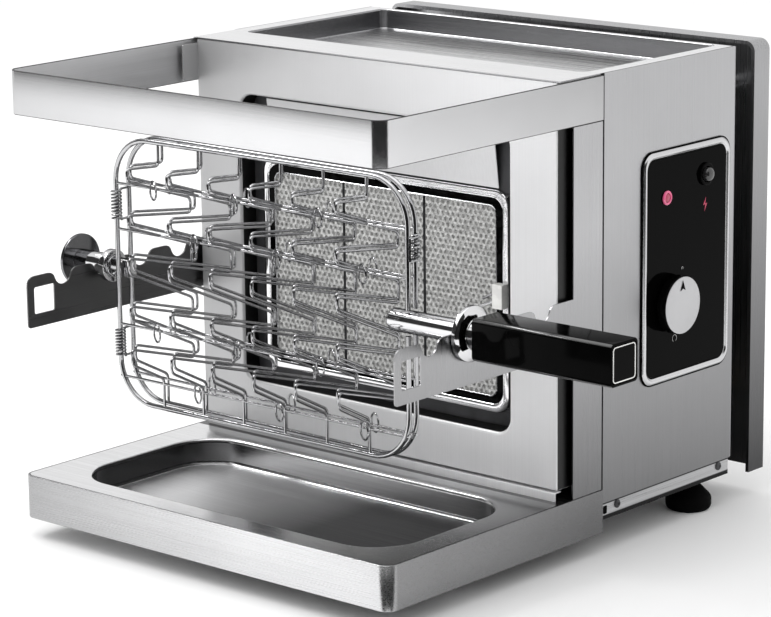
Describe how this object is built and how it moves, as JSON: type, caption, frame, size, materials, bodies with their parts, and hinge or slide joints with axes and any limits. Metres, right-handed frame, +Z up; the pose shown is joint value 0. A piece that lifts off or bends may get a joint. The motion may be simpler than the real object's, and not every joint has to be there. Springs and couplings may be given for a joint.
{
  "type": "rotisserie oven",
  "caption": "Steel gas rotisserie with an open front, hood band, drip tray, ceramic infrared burner and a hinged wire basket on a hand-turned spit in notched arms.",
  "frame": {"origin": "on the resting surface, under the middle of the whole object's box, spit handle and gas inlet included", "axes": "+Z up; -Y is the open front with the basket; +X is the side with the spit handle and the controls"},
  "size_m": [0.637, 0.552, 0.4335],
  "materials": {
    "brushed_steel": "brushed, satin",
    "polished_steel": "fine brushed, near mirror",
    "chrome_trim": "polished",
    "chrome_wire": "polished wire with weld marks",
    "burner_iron": "dark, heat stained",
    "brass": "machined",
    "burner_ceramic": "matt, perforated",
    "porcelain": "glazed",
    "black_gloss": "gloss",
    "knob_silver": "satin with a black pointer",
    "red_lens": "gloss",
    "black_rubber": "matt"
  },
  "bodies": {
    "oven": {"base_skirt": "brushed_steel", "front_foot_rail": "brushed_steel", "hood_band": "polished_steel", "left_side_plate": "brushed_steel", "right_side_plate": "brushed_steel", "front_panel": "polished_steel", "burner_surround": "burner_iron", "burner_bezel": "chrome_trim", "ceramic_plaque_1": "burner_ceramic", "ceramic_plaque_2": "burner_ceramic", "ceramic_plaque_3": "burner_ceramic", "burner_body": "burner_iron", "burner_deflector": "brushed_steel", "mixing_tube": "burner_iron", "gas_jet": "brass", "gas_valve": "brass", "jet_pipe": "brass", "inlet_pipe": "brass", "inlet_nipple": "brass", "electrode_bracket": "porcelain", "ignition_electrode": "chrome_trim", "thermocouple": "chrome_trim", "left_side_cover": "brushed_steel", "right_side_cover": "brushed_steel", "left_rail": "brushed_steel", "right_rail": "brushed_steel", "bottom_plate": "brushed_steel", "rear_wall": "brushed_steel", "top_tray": "polished_steel", "rear_heat_shield": "brushed_steel", "shield_standoff_1": "brushed_steel", "shield_standoff_2": "brushed_steel", "shield_standoff_3": "brushed_steel", "shield_standoff_4": "brushed_steel", "control_bezel": "chrome_trim", "control_plate": "black_gloss", "indicator_lens": "red_lens", "igniter_housing": "black_gloss", "rear_left_foot": "black_rubber", "rear_right_foot": "black_rubber", "front_left_foot": "black_rubber", "front_right_foot": "black_rubber"},
    "drip_tray": {"drip_tray": "polished_steel"},
    "spit": {"left_spindle": "chrome_trim", "left_flange": "chrome_trim", "left_collar": "chrome_trim", "right_spindle": "chrome_trim", "right_flange": "chrome_trim", "spit_handle": "black_gloss", "handle_cap": "black_gloss", "basket_rear_half": "chrome_wire"},
    "basket_front": {"basket_front_half": "chrome_wire"},
    "basket_latch": {"basket_latch": "chrome_wire"},
    "knob_push": {"push_collar": "brass"},
    "gas_knob": {"gas_knob": "knob_silver", "valve_stem": "brass"},
    "igniter_button": {"igniter_button": "black_gloss"}
  },
  "joints": [
    {"name": "drip_tray_lift", "type": "slide", "parent": "oven", "child": "drip_tray", "axis": [0, 0, 1], "range_m": [0, 0.04]},
    {"name": "spit_spin", "type": "hinge", "parent": "oven", "child": "spit", "pos_m": [-0.0645, -0.168, 0.2373], "axis": [1, 0, 0], "continuous": true},
    {"name": "basket_open", "type": "hinge", "parent": "spit", "child": "basket_front", "pos_m": [-0.2535, -0.176, 0.2373], "axis": [0, 0, -1], "range_deg": [0, 10]},
    {"name": "latch_turn", "type": "hinge", "parent": "spit", "child": "basket_latch", "pos_m": [0.0935, -0.1632, 0.2373], "axis": [0, 0, 1], "range_deg": [0, 100]},
    {"name": "knob_press", "type": "slide", "parent": "oven", "child": "knob_push", "axis": [-1, 0, 0], "range_m": [0, 0.003], "stiffness_N_per_m": 600},
    {"name": "knob_rotate", "type": "hinge", "parent": "knob_push", "child": "gas_knob", "pos_m": [0.1615, 0.115, 0.2115], "axis": [1, 0, 0], "range_deg": [0, 180]},
    {"name": "igniter_press", "type": "slide", "parent": "oven", "child": "igniter_button", "axis": [-1, 0, 0], "range_m": [0, 0.004], "stiffness_N_per_m": 300}
  ]
}
